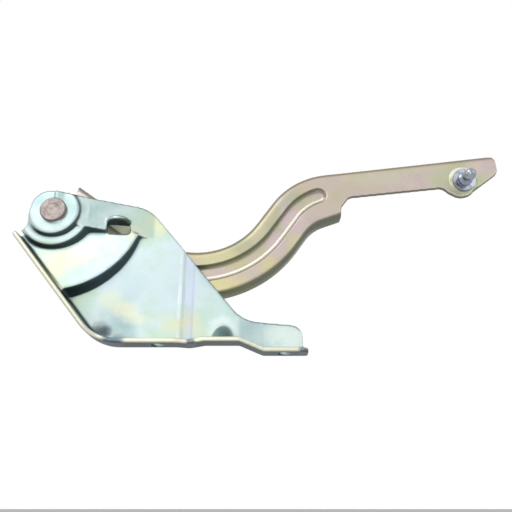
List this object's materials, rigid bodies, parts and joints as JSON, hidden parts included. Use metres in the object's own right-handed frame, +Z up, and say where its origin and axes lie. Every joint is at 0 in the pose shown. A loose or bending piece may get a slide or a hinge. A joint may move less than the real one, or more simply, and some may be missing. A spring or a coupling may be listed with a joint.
{
  "type": "hood hinge",
  "caption": "Stamped body bracket with a bent mounting foot and a riveted gooseneck hood arm that swings on a flat pivot boss and carries a ball stud.",
  "frame": {"origin": "centre of the rear mounting hole, on the underside of the bracket's foot", "axes": "+X along the foot toward the hood end of the arm; +Z up, square to the foot; +Y from the viewer's side toward the back of the plate, along the pivot"},
  "size_m": [0.3862, 0.0505, 0.1719],
  "materials": {
    "bracket_zinc": "pressed steel, iridescent blue-green and yellow zinc passivate",
    "arm_zinc": "pressed steel, iridescent yellow and pink zinc passivate",
    "rivet_steel": "bare upset steel, dull",
    "bush_bronze": "sintered bronze",
    "washer_plastic": "low-friction plastic disc",
    "washer_steel": "zinc plated",
    "stud_steel": "polished, silver"
  },
  "bodies": {
    "base": {"body_bracket": "bracket_zinc", "pivot_rivet": "rivet_steel", "thrust_washer": "washer_plastic", "rear_washer": "washer_steel"},
    "arm": {"hood_arm": "arm_zinc", "pivot_bush": "bush_bronze", "ball_stud": "stud_steel"}
  },
  "joints": [
    {"name": "arm_pivot", "type": "hinge", "parent": "base", "child": "arm", "pos_m": [-0.086, 0, 0.1047], "axis": [0, -1, 0], "range_deg": [-6, 50]}
  ]
}
